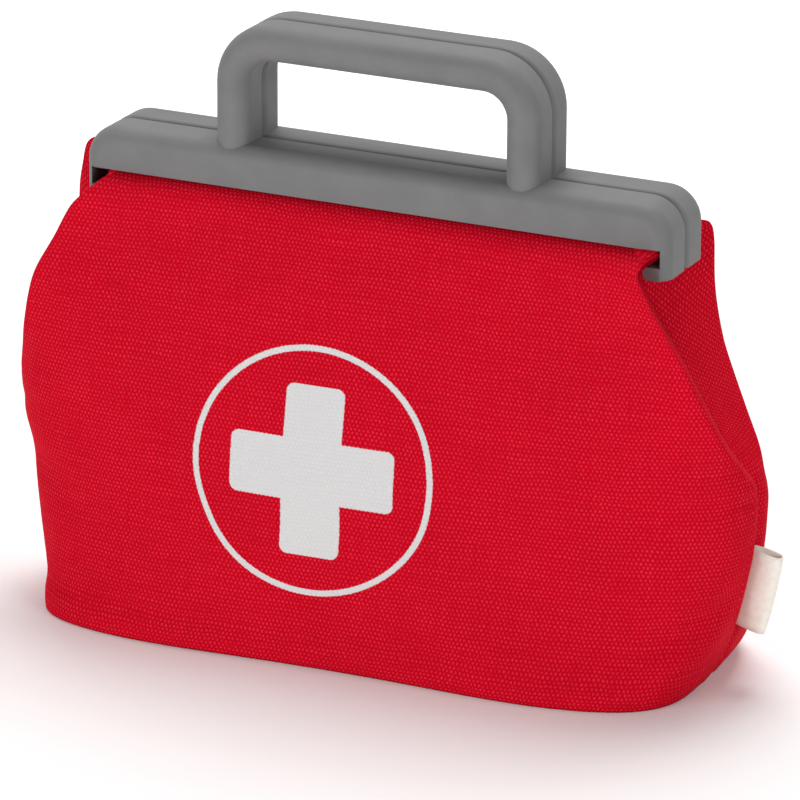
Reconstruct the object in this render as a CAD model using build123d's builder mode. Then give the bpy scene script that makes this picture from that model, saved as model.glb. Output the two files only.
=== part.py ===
"""Toy doctor case: a canvas bag hung in a hinged two-part plastic frame with a split carrying handle.

The origin lies on the floor under the middle of the bag. X runs along the case, -Y is the front and
+Z is up. All sizes are in millimetres.
"""
import os
from math import atan2, degrees, radians, tan

from build123d import *

os.makedirs("parts", exist_ok=True)

# ---------------------------------------------------------------- driving dimensions: frame
bar_top = 176.8          # floor to the top of the closing bar
bar_length = 225.8
bar_height = 15.1        # front wall of the bar
bar_corner = 12.6        # big round where the bar turns down into its legs
half_depth = 17.3        # parting plane to the front of the bar
front_round = 6.0        # soft edge round the front of the bar
parting_round = 2.3      # soft edge each side of the parting line
half_gap = 0.15          # from the parting plane to each half
wall = 2.6               # moulding's wall
leg_wall = 3.0           # end walls that reach down to the hinge
leg_drop = 26.0          # bar top to the bottom of a leg
embed = 0.3              # how far a rib or ledge runs into the wall behind it
past = 1.0               # how far a cut runs past what it cuts

# ---------------------------------------------------------------- driving dimensions: handle
handle_length = 125.0
handle_rise = 43.9       # bar top to the top of the handle
handle_thick = 13.0
handle_depth = 15.4      # parting plane to the front of the handle
handle_corner = 22.0     # outer corner
handle_round = 6.0       # soft edge round the front of the handle
rib_thick = 1.2
rib_count = 5            # ribs across the grip
rib_pitch = 17.0
rib_recess = 1.0         # ribs stay this far behind the mating rim
rib_clearance = 0.6      # bar ribs stop this far above the hem clamp

# ---------------------------------------------------------------- driving dimensions: catch
snap_offset = 25.5       # from the middle of the grip to the nub and to the socket
snap_nub_radius = 1.5
snap_reach = 2.0         # past the parting plane
snap_boss_radius = 2.8
snap_taper = 8           # degrees
snap_clearance = 0.15

# ---------------------------------------------------------------- driving dimensions: hinge
hinge_above_leg = 0.8    # hinge axis above the bottom of the leg
knuckle_radius = 3.0
knuckle_width = 2.9
knuckle_gap = 0.2        # along the pin, and from each knuckle to the other half
pin_radius = 1.25
pin_clearance = 0.05
pin_head_radius = 2.2
pin_head_thick = 1.4
head_chamfer = 0.5       # round the heads of pins and screws
opening_angle = 45.0     # each half, from shut
hinge_spare_angle = 2.0  # the legs' bevel turns a little further
foot_height = 4.6        # ledge inside the bottom of a leg
foot_round = 2.2

# ---------------------------------------------------------------- driving dimensions: hem clamp
strip_thick = 2.0
strip_height = 9.4
strip_lip = 1.6          # lip turned towards the mouth along the strip's lower edge
strip_lip_thick = 1.2
strip_lip_inset = 3.0    # from each end of the strip
strip_corner = 1.5
boss_height = 2.9        # front wall to strip, with the hem between
boss_radius = 2.7
screw_count = 5
screw_inset = 10.9       # end of the strip to its first screw
screw_rise = 0.4         # screws sit this far above the middle of the hem
screw_radius = 1.0
screw_length = 5.6
screw_head_radius = 2.0
screw_head_thick = 1.3
screw_clearance = 0.02
strip_hole_clearance = 0.25
screw_hole_spare = 0.3   # hole deeper than the screw's tip

# ---------------------------------------------------------------- driving dimensions: bag
cloth = 1.3              # canvas, measured level
cloth_clearance = 0.3
hem_height = 9.0
hem_end_gap = 1.0        # hem and strip to the knuckles
base_cloth = 1.0
base_board_thick = 2.0
base_inset = 1.2         # base inside the foot of the panels
foot_level = base_cloth + cloth_clearance
corner_softness = 0.95   # most that a fold is rounded off
fold_spare = 0.995       # a fold further out than this share of the depth flares
fold_flare = 5           # how late along the bag it flares
front_shares = (0, 0.4, 0.7, 0.88)   # points drawn on the front, as shares of the way to the fold
knee_level = 140.0       # above this the end folds bend round the legs
knee_clearance = 1.6     # from the knee of the fold to the ledge inside a leg
knee_rise = 0.6          # knee in front of the leg
knee_spare = 1.5         # a fold that passes the knee this closely bends too
binding_width = 8.0
binding_thick = 0.8
binding_gap = 0.8        # behind the seam

# ---------------------------------------------------------------- driving dimensions: side label
label_height = 30.0
label_reach = 11.4
label_thick = 2.6
label_cloth = 0.5
label_bottom = 24.0

# ---------------------------------------------------------------- sizes that follow
bar_half = bar_length / 2
leg_inner = bar_half - leg_wall
leg_bottom = bar_top - leg_drop
edge_level = bar_top - bar_height
hinge_level = leg_bottom + hinge_above_leg
inner_knuckle = leg_inner - 2 * knuckle_width - knuckle_gap
handle_top = bar_top + handle_rise
handle_sink = front_round
grip_level = handle_top - handle_thick / 2
front_inner = half_depth - wall
strip_front = front_inner - boss_height
strip_back = strip_front - strip_thick
strip_half = inner_knuckle - hem_end_gap
hem_half = strip_half - hem_end_gap
screw_level = edge_level + hem_height / 2 + screw_rise
screw_pitch = 2 * (strip_half - screw_inset) / (screw_count - 1)
hem_front = front_inner - cloth_clearance
hem_back = strip_front + cloth_clearance
screw_places = [(i - (screw_count - 1) / 2) * screw_pitch for i in range(screw_count)]
knee = (inner_knuckle - knee_clearance, half_depth + knee_rise)
rib_places = [(i - (rib_count - 1) / 2) * rib_pitch for i in range(rib_count)]


def rounded_slab(width, low, high, corner, near, far):
    """A slab seen from the front, its two upper corners rounded, from y = -near to y = -far."""
    with BuildPart() as slab:
        with BuildSketch(Plane.XZ.offset(near)) as face:
            with Locations((0, (low + high) / 2)):
                Rectangle(width, high - low)
            fillet(face.vertices().group_by(Axis.Y)[-1], corner)
        extrude(amount=far - near)
    return slab.part


def arch(width, low, high, thick, corner, near, far):
    """An upright arch of even thickness: the handle's outline, from y = -near to y = -far."""
    with BuildPart() as body:
        add(rounded_slab(width, low, high, corner, near, far))
        add(
            rounded_slab(width - 2 * thick, low, high - thick, corner - thick, near, far),
            mode=Mode.SUBTRACT,
        )
    return body.part


def rim(shape, side, low):
    """Edges of the flat face on one side, apart from those that lie at its open foot."""
    face = shape.faces().filter_by(Axis.Y).sort_by(Axis.Y)[side]
    return face.edges().filter_by(lambda edge: edge.center().Z > low + 0.01)


# ================================================================ frame halves
# The bar: a slab that covers bar and legs, with its edges softened before it is hollowed.
with BuildPart() as bar_shell:
    add(rounded_slab(bar_length, leg_bottom, bar_top, bar_corner, half_gap, half_depth))
    fillet(rim(bar_shell, 0, leg_bottom), front_round)
    fillet(rim(bar_shell, -1, leg_bottom), parting_round)

with BuildPart() as bar_hollow:
    add(
        rounded_slab(
            2 * leg_inner, leg_bottom - past, bar_top - wall, bar_corner - leg_wall, 0, front_inner
        )
    )
    fillet(rim(bar_hollow, 0, leg_bottom - past), front_round - wall)
    # Below the front wall the moulding is open to the front, between its two legs.
    with BuildSketch(Plane.XZ):
        with Locations((0, (leg_bottom - past + edge_level) / 2)):
            Rectangle(2 * leg_inner, edge_level - leg_bottom + past)
    extrude(amount=half_depth + past)

# The handle: an arch with soft front edges, hollowed from the mating side and ribbed.
with BuildPart() as handle_shell:
    add(
        arch(
            handle_length,
            bar_top - handle_sink,
            handle_top,
            handle_thick,
            handle_corner,
            half_gap,
            handle_depth,
        )
    )
    fillet(rim(handle_shell, 0, bar_top - handle_sink), handle_round)
    fillet(rim(handle_shell, -1, bar_top - handle_sink), parting_round)

with BuildPart() as handle_hollow:
    add(
        arch(
            handle_length - 2 * wall,
            bar_top + wall / 2,
            handle_top - wall,
            handle_thick - 2 * wall,
            handle_corner - wall,
            0,
            handle_depth - wall,
        )
    )
    fillet(rim(handle_hollow, 0, bar_top + wall / 2), handle_round - wall)
    # Ribs across the grip and across each upright are left standing in the hollow.
    with BuildSketch(Plane.XZ.offset(half_gap + rib_recess)):
        with Locations([(x, grip_level) for x in rib_places]):
            Rectangle(rib_thick, handle_thick)
        upright = (handle_length - handle_thick) / 2
        with Locations([(side * upright, bar_top + rib_pitch) for side in (-1, 1)]):
            Rectangle(handle_thick, rib_thick)
    extrude(amount=handle_depth, mode=Mode.SUBTRACT)


def knuckle_ring(start, radius):
    """A disc on the hinge axis, one knuckle wide, from x = start."""
    with BuildPart() as disc:
        with BuildSketch(Plane.YZ.offset(start)):
            with Locations((0, hinge_level)):
                Circle(radius)
        extrude(amount=knuckle_width)
    return disc.part


with BuildPart() as front_frame:
    add(bar_shell.part)
    add(bar_hollow.part, mode=Mode.SUBTRACT)
    add(handle_shell.part)
    # The arch is cut back where its feet came through into the bar's hollow.
    add(bar_hollow.part, mode=Mode.SUBTRACT)
    add(handle_hollow.part, mode=Mode.SUBTRACT)

    # Short ribs under the bar's top wall, between the clamp screws.
    rib_low = edge_level + strip_height + rib_clearance
    with BuildSketch(Plane.XZ.offset(half_gap + rib_recess)):
        rib_high = bar_top - wall + embed
        rib_level = (rib_low + rib_high) / 2
        with Locations([(x + screw_pitch / 2, rib_level) for x in screw_places[:-1]]):
            Rectangle(rib_thick, rib_high - rib_low)
    extrude(amount=front_inner + embed - half_gap - rib_recess)

    # Bosses that carry the clamp strip, with blind holes for its screws.
    with BuildSketch(Plane.XZ.offset(strip_front)):
        with Locations([(x, screw_level) for x in screw_places]):
            Circle(boss_radius)
    extrude(amount=boss_height + wall / 2)
    with BuildSketch(Plane.XZ.offset(strip_front)):
        with Locations([(x, screw_level) for x in screw_places]):
            Circle(screw_radius + screw_clearance)
    extrude(amount=screw_length - strip_thick + screw_hole_spare, mode=Mode.SUBTRACT)

    # Catch: a nub on one side of the grip and a socket on the other, each on its own boss.
    with BuildSketch(Plane.XZ.offset(half_gap)):
        with Locations((snap_offset, grip_level), (-snap_offset, grip_level)):
            Circle(snap_boss_radius)
    extrude(amount=handle_depth - wall / 2 - half_gap)
    with BuildSketch(Plane.XZ.offset(half_gap)):
        with Locations((snap_offset, grip_level)):
            Circle(snap_nub_radius)
    extrude(amount=-(snap_reach + half_gap), taper=snap_taper)
    with BuildSketch(Plane.XZ.offset(half_gap)):
        with Locations((-snap_offset, grip_level)):
            Circle(snap_nub_radius + snap_clearance)
    extrude(amount=snap_reach + half_gap, mode=Mode.SUBTRACT)

    # A ledge inside the bottom of each leg carries the hinge knuckle.
    for side in (-1, 1):
        with BuildSketch(Plane.XZ) as foot_face:
            with Locations((side * (inner_knuckle + leg_inner + embed) / 2, leg_bottom + foot_height / 2)):
                Rectangle(leg_inner - inner_knuckle + embed, foot_height)
            fillet(foot_face.vertices().group_by(Axis.X)[0 if side > 0 else -1], foot_round)
        extrude(amount=half_depth)
    # Room for the other half's knuckles, and a bevel under the axis that lets the legs turn.
    own = (leg_inner - knuckle_width, -inner_knuckle - knuckle_width)
    other = (inner_knuckle, -leg_inner)
    for start in (*own, *other):
        add(knuckle_ring(start, knuckle_radius + knuckle_gap), mode=Mode.SUBTRACT)
    for side in (-1, 1):
        with BuildSketch(Plane.YZ.offset(side * (leg_inner + leg_wall / 2))):
            with BuildLine():
                low = leg_bottom - past
                run = half_gap + (hinge_level - low) * tan(radians(opening_angle + hinge_spare_angle))
                bevel = [(past, hinge_level), (-half_gap, hinge_level), (-run, low), (past, low)]
                Polyline(*bevel, close=True)
            make_face()
        extrude(amount=leg_wall / 2 + past, both=True, mode=Mode.SUBTRACT)
    for start in own:
        add(knuckle_ring(start, knuckle_radius))
        # The neck between the knuckle and its ledge.
        with BuildSketch(Plane.YZ.offset(start)):
            with Locations((-knuckle_radius - knuckle_gap, leg_bottom + foot_height / 2)):
                Rectangle(2 * knuckle_radius, foot_height)
        extrude(amount=knuckle_width)
    with BuildSketch(Plane.YZ):
        with Locations((0, hinge_level)):
            Circle(pin_radius + pin_clearance)
    extrude(amount=leg_inner, both=True, mode=Mode.SUBTRACT)

# The rear half is the same moulding, turned half round.
with BuildPart() as rear_frame:
    add(front_frame.part, rotation=(0, 0, 180))

# ================================================================ hem clamps
with BuildPart() as front_clamp_strip:
    with BuildSketch(Plane.XZ.offset(strip_back)) as strip_face:
        with Locations((0, edge_level + strip_height / 2 + cloth_clearance)):
            Rectangle(2 * strip_half, strip_height)
        fillet(strip_face.vertices(), strip_corner)
        with Locations([(x, screw_level) for x in screw_places]):
            Circle(screw_radius + strip_hole_clearance, mode=Mode.SUBTRACT)
    extrude(amount=strip_thick)
    with BuildSketch(Plane.XZ.offset(strip_back - strip_lip)):
        with Locations((0, edge_level + cloth_clearance + strip_lip_thick / 2)):
            Rectangle(2 * (strip_half - strip_lip_inset), strip_lip_thick)
    extrude(amount=strip_lip)

with BuildPart() as rear_clamp_strip:
    add(front_clamp_strip.part, rotation=(0, 0, 180))

with BuildPart() as front_clamp_screws:
    with BuildSketch(Plane.XZ.offset(strip_back)):
        with Locations([(x, screw_level) for x in screw_places]):
            Circle(screw_radius)
    extrude(amount=screw_length)
    with BuildSketch(Plane.XZ.offset(strip_back - screw_head_thick)):
        with Locations([(x, screw_level) for x in screw_places]):
            Circle(screw_head_radius)
    extrude(amount=screw_head_thick)
    chamfer(front_clamp_screws.faces().sort_by(Axis.Y)[-screw_count:].edges(), head_chamfer)

with BuildPart() as rear_clamp_screws:
    add(front_clamp_screws.part, rotation=(0, 0, 180))

# ================================================================ hinge pins
with BuildPart() as right_hinge_pin:
    with BuildSketch(Plane.YZ.offset(inner_knuckle - knuckle_gap)):
        with Locations((0, hinge_level)):
            Circle(pin_radius)
    extrude(amount=leg_inner - inner_knuckle)
    with BuildSketch(Plane.YZ.offset(inner_knuckle - knuckle_gap - pin_head_thick)):
        with Locations((0, hinge_level)):
            Circle(pin_head_radius)
    extrude(amount=pin_head_thick)
    chamfer(right_hinge_pin.faces().sort_by(Axis.X)[0].edges(), head_chamfer)

with BuildPart() as left_hinge_pin:
    add(right_hinge_pin.part, rotation=(0, 0, 180))

# ================================================================ canvas bag
# The bag stands on a flat base with rounded ends. Towards the frame each end folds in between two
# corners, and the panels lean together until they meet the hem.
# Level: (half the depth at the middle, end seam, roundness of the front, softness of the fold),
# drawn for the frame as it stands above and stretched with it.
drawn_half_bar, drawn_half_depth, drawn_edge_level = 112.9, 17.3, 161.7
along = bar_half / drawn_half_bar
deep = half_depth / drawn_half_depth
high = edge_level / drawn_edge_level
drawn_shape = {
    4.0: (53.2, 127.4, 3.3, 1.0),
    12.0: (52.6, 129.8, 3.2, 1.0),
    30.0: (49.2, 132.6, 3.0, 1.0),
    50.0: (45.1, 136.0, 2.8, 1.0),
    66.0: (41.6, 139.4, 2.8, 1.0),
    74.0: (39.9, 138.6, 2.9, 0.8),
    83.0: (37.9, 131.6, 3.0, 0.4),
    94.0: (35.5, 124.4, 3.2, 0.1),
    104.0: (33.3, 118.6, 3.6, 0.0),
    118.0: (30.3, 111.0, 3.9, 0.0),
    135.0: (26.6, 100.6, 4.0, 0.0),
    146.0: (24.2, 95.4, 4.2, 0.0),
    152.0: (22.9, 92.4, 4.2, 0.0),
    156.0: (21.8, 90.4, 4.2, 0.0),
    159.6: (19.2, 88.6, 4.2, 0.0),
}
bag_shape = {foot_level: (52.2 * deep, 125.4 * along, 3.4, 1.0)}
for drawn_level, (middle, seam, roundness, softness) in drawn_shape.items():
    bag_shape[drawn_level * high] = (middle * deep, seam * along, roundness, softness)
bag_shape[edge_level - cloth_clearance] = (hem_front, 87.0 * along, 4.2, 0.0)
# Each corner's place at the same levels: along the bag, and from the plane of the seams.
round_corner = [(115, 35), (117, 35), (119, 34), (126, 27), (132.4, 20), (138.6, 13)]
corners = {
    "front_right": [(141, 9.5), (139.6, 13.4), (136, 19.4), (133.4, 23.4), (128.8, 27.2), (120.8, 28.4)],
    "front_left": [(141, 9.5), (139.8, 12.4), (137, 18.6), (134, 23.4), (129.2, 27.4), (120.4, 28.4)],
    "rear_right": [(139.6, 9.5), (135, 15.6), (128.2, 21.2), (121.8, 25.4), (116.2, 28), (113.8, 28.6)],
    "rear_left": [(141, 9.5), (140.4, 13.4), (139, 18.4), (137.2, 20.6), (135, 20.4), (133, 19.2)],
}
# The same corners in the neck, where they clear the frame's legs. The last is the end of the hem.
necks = {
    "front_right": [(114.6, 28.4), (109.4, 28.8), (107.4, 27.6), (106, 22)],
    "front_left": [(114.6, 28.4), (111, 28.2), (108, 26.8), (104.4, 21.4)],
    "rear_right": [(113, 28.6), (112.4, 28.6), (112, 28.6), (109.4, 24.4)],
    "rear_left": [(124, 24.6), (118, 26), (113, 26.6), (108, 23)],
}


def quarter_outline(level, corner):
    """One quarter of the bag at a level, from the middle of its front to its end seam."""
    half_depth_here, seam, roundness, softness = bag_shape[level]
    drawn_places = round_corner + corners[corner] + necks[corner]
    places = [(x * along, y * deep) for x, y in drawn_places] + [(hem_half, hem_front)]
    fold_x, fold_y = places[list(bag_shape).index(level)]
    near = min(fold_y / half_depth_here, fold_spare)
    flare = max(fold_y - fold_spare * half_depth_here, 0)
    reach = fold_x / (1 - near**roundness) ** (1 / roundness)
    front = [
        (
            share * fold_x,
            half_depth_here * (1 - (share * fold_x / reach) ** roundness) ** (1 / roundness)
            + flare * share**fold_flare,
        )
        for share in front_shares
    ]
    # Between fold and seam: round where the corner is soft, and bent round the legs of the frame.
    round_x = reach * (1 - (near / 2) ** roundness) ** (1 / roundness)
    middle_x = (fold_x + seam) / 2
    side = (middle_x + (round_x - middle_x) * softness, fold_y / 2)
    if level > knee_level * high and middle_x > knee[0] - knee_spare:
        side = knee
    return front + [(fold_x, fold_y), side, (seam, 0)]


def half_outline(level, side, seam_gap=cloth_clearance / 2):
    """Points round one half, drawn as if it were the front, from its left seam to its right seam."""
    left, right = ("front_left", "front_right") if side == "front" else ("rear_right", "rear_left")
    left_line = [(-x, -y) for x, y in quarter_outline(level, left)[:0:-1]]
    right_line = [(x, -y) for x, y in quarter_outline(level, right)]
    return [Vector(x, y - seam_gap) for x, y in left_line + right_line]


def moved_in(line, distance):
    """The same points moved square to the cloth, towards the inside of the bag."""
    runs = [(end - start).normalized() for start, end in zip(line, line[1:])]
    normals = [Vector(-run.Y, run.X) for run in runs]
    moved = []
    for index, point in enumerate(line):
        before = normals[max(index - 1, 0)]
        after = normals[min(index, len(normals) - 1)]
        if index in (0, len(line) - 1):
            # An end point slides along the seam plane.
            inward = 1 if before.X > 0 else -1
            moved.append(point + Vector(inward * distance / max(abs(before.X), 0.5), 0))
        else:
            middle = (before + after).normalized()
            moved.append(point + middle * (distance / max(middle.dot(before), 0.5)))
    return moved


def draw_outline(line, softness):
    """Left end, front and right end, as curves that meet in a sharp fold (0) or run round it (1)."""
    own = [(after - before).normalized() for before, after in zip(line, line[1:])]
    around_left = (line[3] - line[1]).normalized()
    around_right = (line[-2] - line[-4]).normalized()
    share = corner_softness * softness
    left_end = own[1] * (1 - share) + around_left * share
    left_start = own[2] * (1 - share) + around_left * share
    right_end = own[-3] * (1 - share) + around_right * share
    right_start = own[-2] * (1 - share) + around_right * share
    Spline(*line[:3], tangents=[own[0], left_end], tangent_scalars=[1, 1])
    Spline(*line[2:-2], tangents=[left_start, right_end], tangent_scalars=[1, 1])
    Spline(*line[-3:], tangents=[right_start, own[-1]], tangent_scalars=[1, 1])


def half_ring(level, side):
    """The cut face of one half's cloth at a level."""
    outer = half_outline(level, side)
    inner = moved_in(outer, cloth)
    softness = bag_shape[level][-1]
    with BuildSketch(Plane.XY.offset(level)) as ring:
        with BuildLine():
            draw_outline(outer, softness)
            draw_outline(inner, softness)
            Line(outer[0], inner[0])
            Line(outer[-1], inner[-1])
        make_face()
    return ring.sketch


def half_panel(side):
    """Front or rear cloth with its two end halves, drawn as if it were the front."""
    with BuildPart() as panel:
        for level in bag_shape:
            add(half_ring(level, side))
        loft(ruled=True)
        # The hem stands up inside the bar and is pierced for the clamp's bosses.
        with BuildSketch(Plane.XZ.offset(hem_back)):
            with Locations((0, edge_level - cloth_clearance + hem_height / 2)):
                Rectangle(2 * hem_half, hem_height)
            with Locations([(x, screw_level) for x in screw_places]):
                Circle(boss_radius + cloth_clearance, mode=Mode.SUBTRACT)
        extrude(amount=hem_front - hem_back)
    return panel.part


with BuildPart() as front_panel:
    add(half_panel("front"))

with BuildPart() as rear_panel:
    add(half_panel("rear"), rotation=(0, 0, 180))


def base_plate(level, thick, inset):
    """A flat plate that follows the foot of the panels, moved in by inset."""
    with BuildPart() as plate:
        with BuildSketch(Plane.XY.offset(level)):
            with BuildLine():
                line = moved_in(half_outline(foot_level, "front", seam_gap=0), inset)
                draw_outline(line, corner_softness)
                Line(line[-1], line[0])
            make_face()
            mirror(about=Plane.XZ)
        extrude(amount=thick)
    return plate.part


with BuildPart() as base_panel:
    add(base_plate(0, base_cloth, base_inset))

with BuildPart() as base_board:
    add(base_plate(foot_level, base_board_thick, cloth + cloth_clearance))


def binding(side):
    """Tape over the raw edges of one end seam, inside the bag."""
    with BuildPart() as tape:
        for level in list(bag_shape)[1:]:
            seam = bag_shape[level][1] - cloth - cloth_clearance
            with BuildSketch(Plane.XY.offset(level)):
                with Locations((side * (seam - binding_thick / 2 - binding_gap), 0)):
                    Rectangle(binding_thick, binding_width)
        loft(ruled=True)
    return tape.part


with BuildPart() as left_seam_binding:
    add(binding(-1))
with BuildPart() as right_seam_binding:
    add(binding(1))

# ================================================================ side label
# A loop of tape sewn into the right end seam: its open ends face up and down along the seam.
seam_levels = list(bag_shape)
seam_places = [shape[1] for shape in bag_shape.values()]


def seam_at(level):
    """The right end seam at a level."""
    above = next(index for index, height in enumerate(seam_levels) if height > level)
    low, high = seam_levels[above - 1], seam_levels[above]
    share = (level - low) / (high - low)
    return seam_places[above - 1] * (1 - share) + seam_places[above] * share


label_low = seam_at(label_bottom)
label_high = seam_at(label_bottom + label_height)
label_lean = degrees(atan2(label_high - label_low, label_height))
label_root = (label_low + label_high) / 2 + cloth_clearance
with BuildPart() as side_label:
    label_plane = Plane(
        origin=(label_root, 0, label_bottom + label_height / 2), x_dir=(1, 0, 0), z_dir=(0, 0, 1)
    ).rotated((0, label_lean, 0))
    with BuildSketch(label_plane.offset(-label_height / 2)):
        with Locations((label_reach / 2, 0)):
            SlotOverall(label_reach, label_thick)
            SlotOverall(label_reach - 2 * label_cloth, label_thick - 2 * label_cloth, mode=Mode.SUBTRACT)
    extrude(amount=label_height)

# ================================================================ export
parts = {
    "front_frame": front_frame,
    "rear_frame": rear_frame,
    "front_clamp_strip": front_clamp_strip,
    "rear_clamp_strip": rear_clamp_strip,
    "front_clamp_screws": front_clamp_screws,
    "rear_clamp_screws": rear_clamp_screws,
    "left_hinge_pin": left_hinge_pin,
    "right_hinge_pin": right_hinge_pin,
    "front_panel": front_panel,
    "rear_panel": rear_panel,
    "base_panel": base_panel,
    "base_board": base_board,
    "left_seam_binding": left_seam_binding,
    "right_seam_binding": right_seam_binding,
    "side_label": side_label,
}
for name, piece in parts.items():
    piece.part.label = name
    export_step(piece.part, f"parts/{name}.step")
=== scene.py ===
"""Toy doctor case: a red canvas bag hung in a grey hinged frame whose two halves share one handle.

Metres throughout, except where a comment says mm. X runs along the case to its labelled end, -Y is
the front, +Z is up.
"""
import math

import bmesh
import bpy
import numpy as np
from mathutils import Matrix, Vector


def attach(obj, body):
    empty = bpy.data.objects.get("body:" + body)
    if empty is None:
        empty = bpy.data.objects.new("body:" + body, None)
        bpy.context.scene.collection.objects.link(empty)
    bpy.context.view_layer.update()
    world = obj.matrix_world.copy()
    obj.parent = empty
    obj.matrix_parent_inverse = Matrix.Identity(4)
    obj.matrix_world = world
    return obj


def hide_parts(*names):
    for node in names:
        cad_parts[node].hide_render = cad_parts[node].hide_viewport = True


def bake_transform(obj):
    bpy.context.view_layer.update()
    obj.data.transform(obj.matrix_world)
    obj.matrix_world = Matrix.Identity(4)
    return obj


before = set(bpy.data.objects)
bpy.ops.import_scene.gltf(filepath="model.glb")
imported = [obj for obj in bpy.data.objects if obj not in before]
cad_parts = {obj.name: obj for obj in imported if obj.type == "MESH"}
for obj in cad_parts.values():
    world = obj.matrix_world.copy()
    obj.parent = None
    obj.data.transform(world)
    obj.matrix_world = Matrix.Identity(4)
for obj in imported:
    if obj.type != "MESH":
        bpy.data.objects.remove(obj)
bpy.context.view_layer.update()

scene = bpy.context.scene
MM = 0.001

# ---------------------------------------------------------------- camera
# A long lens stands two metres off, to the right of the front, and looks down on the case. Its
# place is counted from the middle of the bar, in steps of the width that one pixel covers there.
lens_length, sensor_width = 268.4, 36.0          # mm
camera_right = Vector((0.9025, 0.4307, 0.0049))
camera_up = Vector((-0.1485, 0.3005, 0.9421))
camera_back = Vector((0.4043, -0.8510, 0.3352))
bar_middle = Vector((0, 0, 176.8 * MM))
pixel = 0.35 * MM
pixels_right, pixels_up, pixels_back = 9.43, -246.44, 5963.48

camera_data = bpy.data.cameras.new("camera")
camera_data.sensor_width = sensor_width
camera_data.lens = lens_length
camera_data.clip_end = 20.0
camera = bpy.data.objects.new("camera", camera_data)
scene.collection.objects.link(camera)
from_bar = pixels_right * camera_right + pixels_up * camera_up + pixels_back * camera_back
turned_to_case = Matrix((camera_right, camera_up, camera_back)).transposed().to_4x4()
camera.matrix_world = Matrix.Translation(bar_middle + pixel * from_bar) @ turned_to_case
scene.camera = camera
scene.view_settings.view_transform = "Standard"


# ---------------------------------------------------------------- floor and light
# A white floor fades into a white room. The strongest of three soft boxes stands above and behind,
# so that the shadow falls in front of the case; the others light its front and its labelled end.
def new_material(name):
    material = bpy.data.materials.new(name)
    material.use_nodes = True
    nodes, links = material.node_tree.nodes, material.node_tree.links
    return material, nodes, links, nodes["Principled BSDF"]


def node(nodes, kind, **settings):
    made = nodes.new(kind)
    for key, value in settings.items():
        setattr(made, key, value)
    return made


def maths(nodes, links, operation, *values, clamp=False):
    """A Math node on sockets or plain numbers; gives its result's socket."""
    made = node(nodes, "ShaderNodeMath", operation=operation, use_clamp=clamp)
    for socket, value in zip(made.inputs, values):
        if isinstance(value, (int, float)):
            socket.default_value = value
        else:
            links.new(value, socket)
    return made.outputs[0]


def between(nodes, links, share, low, high, clamp=False):
    """The value that lies a share of the way from low to high."""
    return maths(nodes, links, "MULTIPLY_ADD", share, high - low, low, clamp=clamp)


def seen_itself(nodes, links):
    """1 for a ray that shows the thing itself, straight or mirrored; 0 for one that lights."""
    rays = node(nodes, "ShaderNodeLightPath").outputs
    seen = maths(nodes, links, "MAXIMUM", rays["Is Camera Ray"], rays["Is Glossy Ray"])
    return maths(nodes, links, "MAXIMUM", seen, rays["Is Transmission Ray"])


floor_reach = 8.0
glow_start, glow_full = 0.4, 1.5        # from the case, where the glow starts to rise and is full
glow_near, glow_far = 0.08, 1.0         # how strongly it glows there
floor_material, nodes, links, surface = new_material("white_floor")
surface.inputs["Base Color"].default_value = (0.95, 0.95, 0.95, 1)
surface.inputs["Roughness"].default_value = 0.9
# Far from the case, where the lamps don't reach, the floor shows white like the room behind it.
away = node(nodes, "ShaderNodeVectorMath", operation="LENGTH")
links.new(node(nodes, "ShaderNodeTexCoord").outputs["Object"], away.inputs[0])
fade = node(nodes, "ShaderNodeMapRange")
fade.inputs["From Min"].default_value, fade.inputs["From Max"].default_value = glow_start, glow_full
fade.inputs["To Min"].default_value, fade.inputs["To Max"].default_value = glow_near, glow_far
links.new(away.outputs["Value"], fade.inputs["Value"])
glow = node(nodes, "ShaderNodeEmission")
shown = maths(nodes, links, "MULTIPLY", seen_itself(nodes, links), fade.outputs["Result"])
links.new(shown, glow.inputs["Strength"])
lit_and_glowing = node(nodes, "ShaderNodeAddShader")
links.new(surface.outputs[0], lit_and_glowing.inputs[0])
links.new(glow.outputs[0], lit_and_glowing.inputs[1])
links.new(lit_and_glowing.outputs[0], nodes["Material Output"].inputs["Surface"])
floor_corners = [
    (x * floor_reach, y * floor_reach, 0) for x, y in ((-1, -1), (1, -1), (1, 1), (-1, 1))
]
floor_mesh = bpy.data.meshes.new("floor")
floor_mesh.from_pydata(floor_corners, [], [(0, 1, 2, 3)])
floor = bpy.data.objects.new("floor", floor_mesh)
scene.collection.objects.link(floor)
floor_mesh.materials.append(floor_material)

ambient = 0.16      # how much the room lights; the eye sees it full white
room = bpy.data.worlds.new("room")
scene.world = room
room.use_nodes = True
nodes, links = room.node_tree.nodes, room.node_tree.links
strength = between(nodes, links, seen_itself(nodes, links), ambient, 1)
links.new(strength, nodes["Background"].inputs["Strength"])
nodes["Background"].inputs["Color"].default_value = (1, 1, 1, 1)


def soft_box(name, place, target, size, power):
    data = bpy.data.lights.new(name, "AREA")
    data.shape = "RECTANGLE"
    data.size, data.size_y = size
    data.energy = power
    lamp = bpy.data.objects.new(name, data)
    scene.collection.objects.link(lamp)
    lamp.location = place
    lamp.rotation_euler = (Vector(target) - Vector(place)).to_track_quat("-Z", "Y").to_euler()


soft_box("back", place=(-0.2, 0.7, 1.8), target=(0, 0, 0.05), size=(1.4, 1.0), power=33)
soft_box("front", place=(-0.9, -2.2, 0.42), target=(0, 0, 0.08), size=(1.4, 0.7), power=29)
soft_box("side", place=(1.9, -0.9, 0.6), target=(0, 0, 0.1), size=(0.8, 0.8), power=15)


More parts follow.
